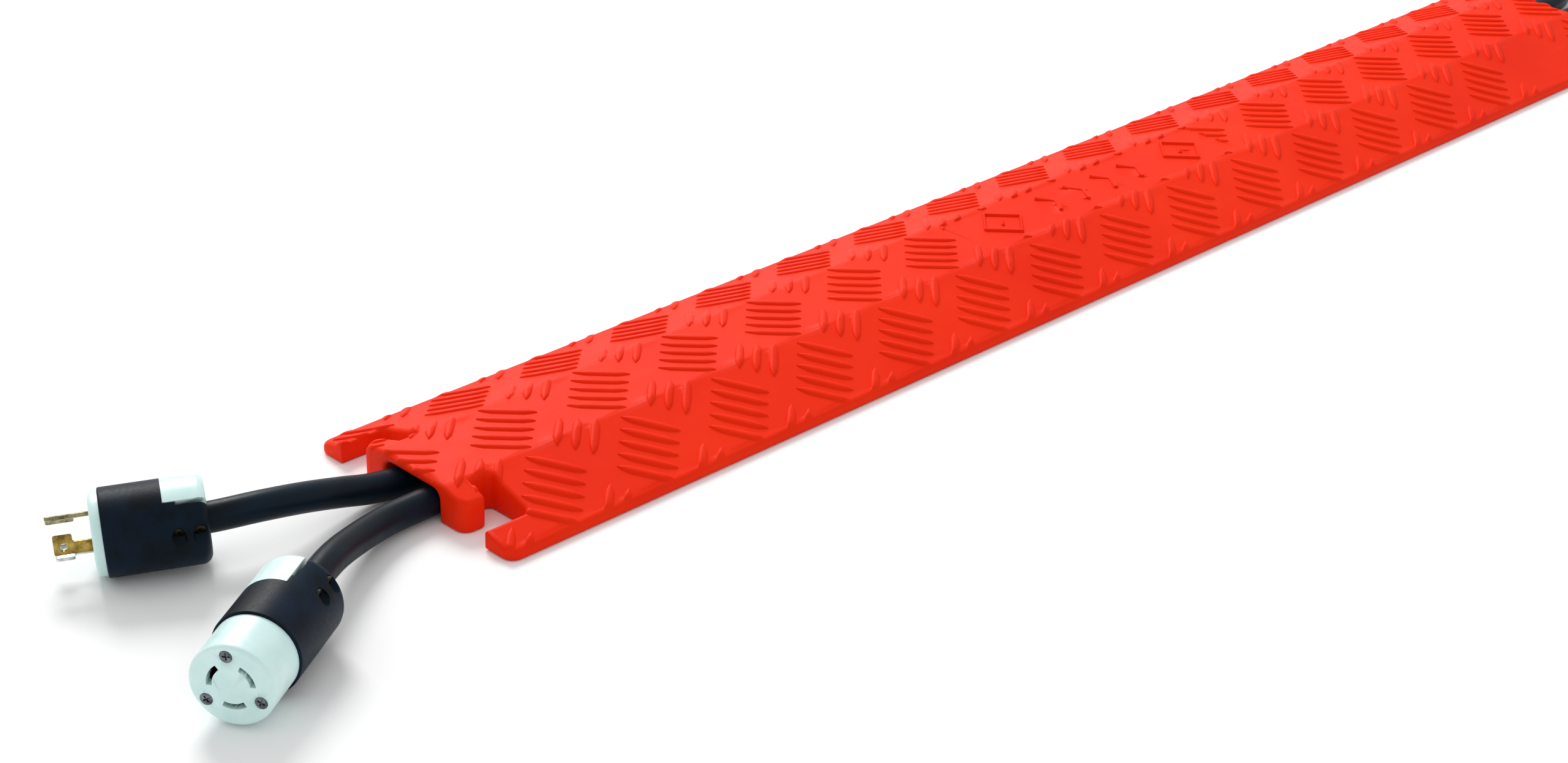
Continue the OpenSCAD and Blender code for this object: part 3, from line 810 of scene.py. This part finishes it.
def white_nylon():
    look = Look("white_nylon", 0.3, IOR=1.53, Subsurface_Weight=0.15, Subsurface_Scale=0.004)
    cloud = look.noise(90, 4)
    look.colour(look.ramp(cloud, [(0.35, (0.60, 0.83, 0.81)), (0.7, (0.70, 0.90, 0.88))]))
    look.roughness(look.noise(400, 3), 0.22, 0.4)
    look.bump((look.noise(300, 3), 0.15, 0.2))
    return look.material


def metal(name, dull, bright, rough):
    look = Look(name, rough, Metallic=1.0)
    stain = look.noise(350, 4)
    look.colour(look.ramp(stain, [(0.35, dull), (0.65, bright)]))
    look.roughness(look.noise(900, 3), rough * 0.75, rough * 1.3)
    look.bump((look.noise(1500, 2, (0.2, 1, 1)), 0.2, 0.05))
    return look.material


def insulation(name, colour):
    look = Look(name, 0.45)
    dark = tuple(c * 0.8 for c in colour)
    look.colour(look.ramp(look.noise(300, 3), [(0.3, dark), (0.7, colour)]))
    look.bump((look.noise(900, 2), 0.2, 0.05))
    return look.material


LOOKS = {
    "ramp_orange": orange(), "cord_jacket": jacket(), "housing_black": black_housing(),
    "nylon_white": white_nylon(),
    "blade_brass": metal("brass", (0.15, 0.10, 0.02), (0.46, 0.32, 0.08), 0.3),
    "blade_nickel": metal("nickel", (0.42, 0.43, 0.43), (0.75, 0.76, 0.76), 0.22),
    "blade_ground": metal("dull_brass", (0.10, 0.09, 0.04), (0.42, 0.38, 0.22), 0.35),
    "screw_zinc": metal("zinc", (0.40, 0.41, 0.43), (0.66, 0.67, 0.70), 0.3),
    "screw_brass": metal("blackened_brass", (0.01, 0.01, 0.008), (0.05, 0.042, 0.025), 0.5),
    "screw_dark": metal("dark_steel", (0.06, 0.07, 0.08), (0.20, 0.22, 0.24), 0.35),
    "wire_black": insulation("wire_black", (0.02, 0.02, 0.02)),
    "wire_white": insulation("wire_white", (0.75, 0.75, 0.72)),
    "wire_green": insulation("wire_green", (0.03, 0.30, 0.08)),
}
SLOT_OF = {row["node"]: row["material_slot"] for row in frame["record"]["subparts"]}


def paint(obj, slot):
    obj.data.materials.clear()
    obj.data.materials.append(LOOKS[slot])


for node, obj in nodes.items():
    paint(obj, SLOT_OF[node])
    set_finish(obj, SLOT_OF[node])
for piece in [ramp, cord] + shaped:
    paint(piece, piece["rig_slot"])

# ------------------------------------------------------------------ floor and light


# The floor lies a little lower than the model's underside, so that the two don't share a plane.
FLOOR_SIZE, FLOOR_Z = 60, -0.0003
SKY, KEY_AT, KEY_SIZE, KEY_POWER = 0.76, (0.5, 1.9, 1.8), 1.2, 55


def make_floor():
    bpy.ops.mesh.primitive_plane_add(size=FLOOR_SIZE, location=(0, 0, FLOOR_Z))
    floor = bpy.context.object
    floor.name = "floor"
    look = Look("pale_floor", 0.9)
    look.colour(look.ramp(look.noise(3, 2), [(0.3, (0.93, 0.93, 0.93)), (0.7, (0.95, 0.95, 0.95))]))
    look.shader.inputs["Specular IOR Level"].default_value = 0.0
    floor.data.materials.append(look.material)


def add_light(name, at, size, power):
    data = bpy.data.lights.new(name, "AREA")
    data.shape, data.size, data.energy = "DISK", size, power
    lamp = bpy.data.objects.new(name, data)
    bpy.context.scene.collection.objects.link(lamp)
    lamp.location = at
    lamp.rotation_mode = "QUATERNION"
    lamp.rotation_quaternion = (-Vector(at)).to_track_quat("-Z", "Y")


make_floor()
world = bpy.data.worlds.new("world")
bpy.context.scene.world = world
world.use_nodes = True
sky = world.node_tree.nodes["Background"]
sky.inputs["Color"].default_value = (1, 1, 1, 1)
sky.inputs["Strength"].default_value = SKY
add_light("key", KEY_AT, KEY_SIZE, KEY_POWER)
bpy.context.scene.view_settings.view_transform = "Standard"

# ------------------------------------------------------------------ end

bpy.context.view_layer.update()
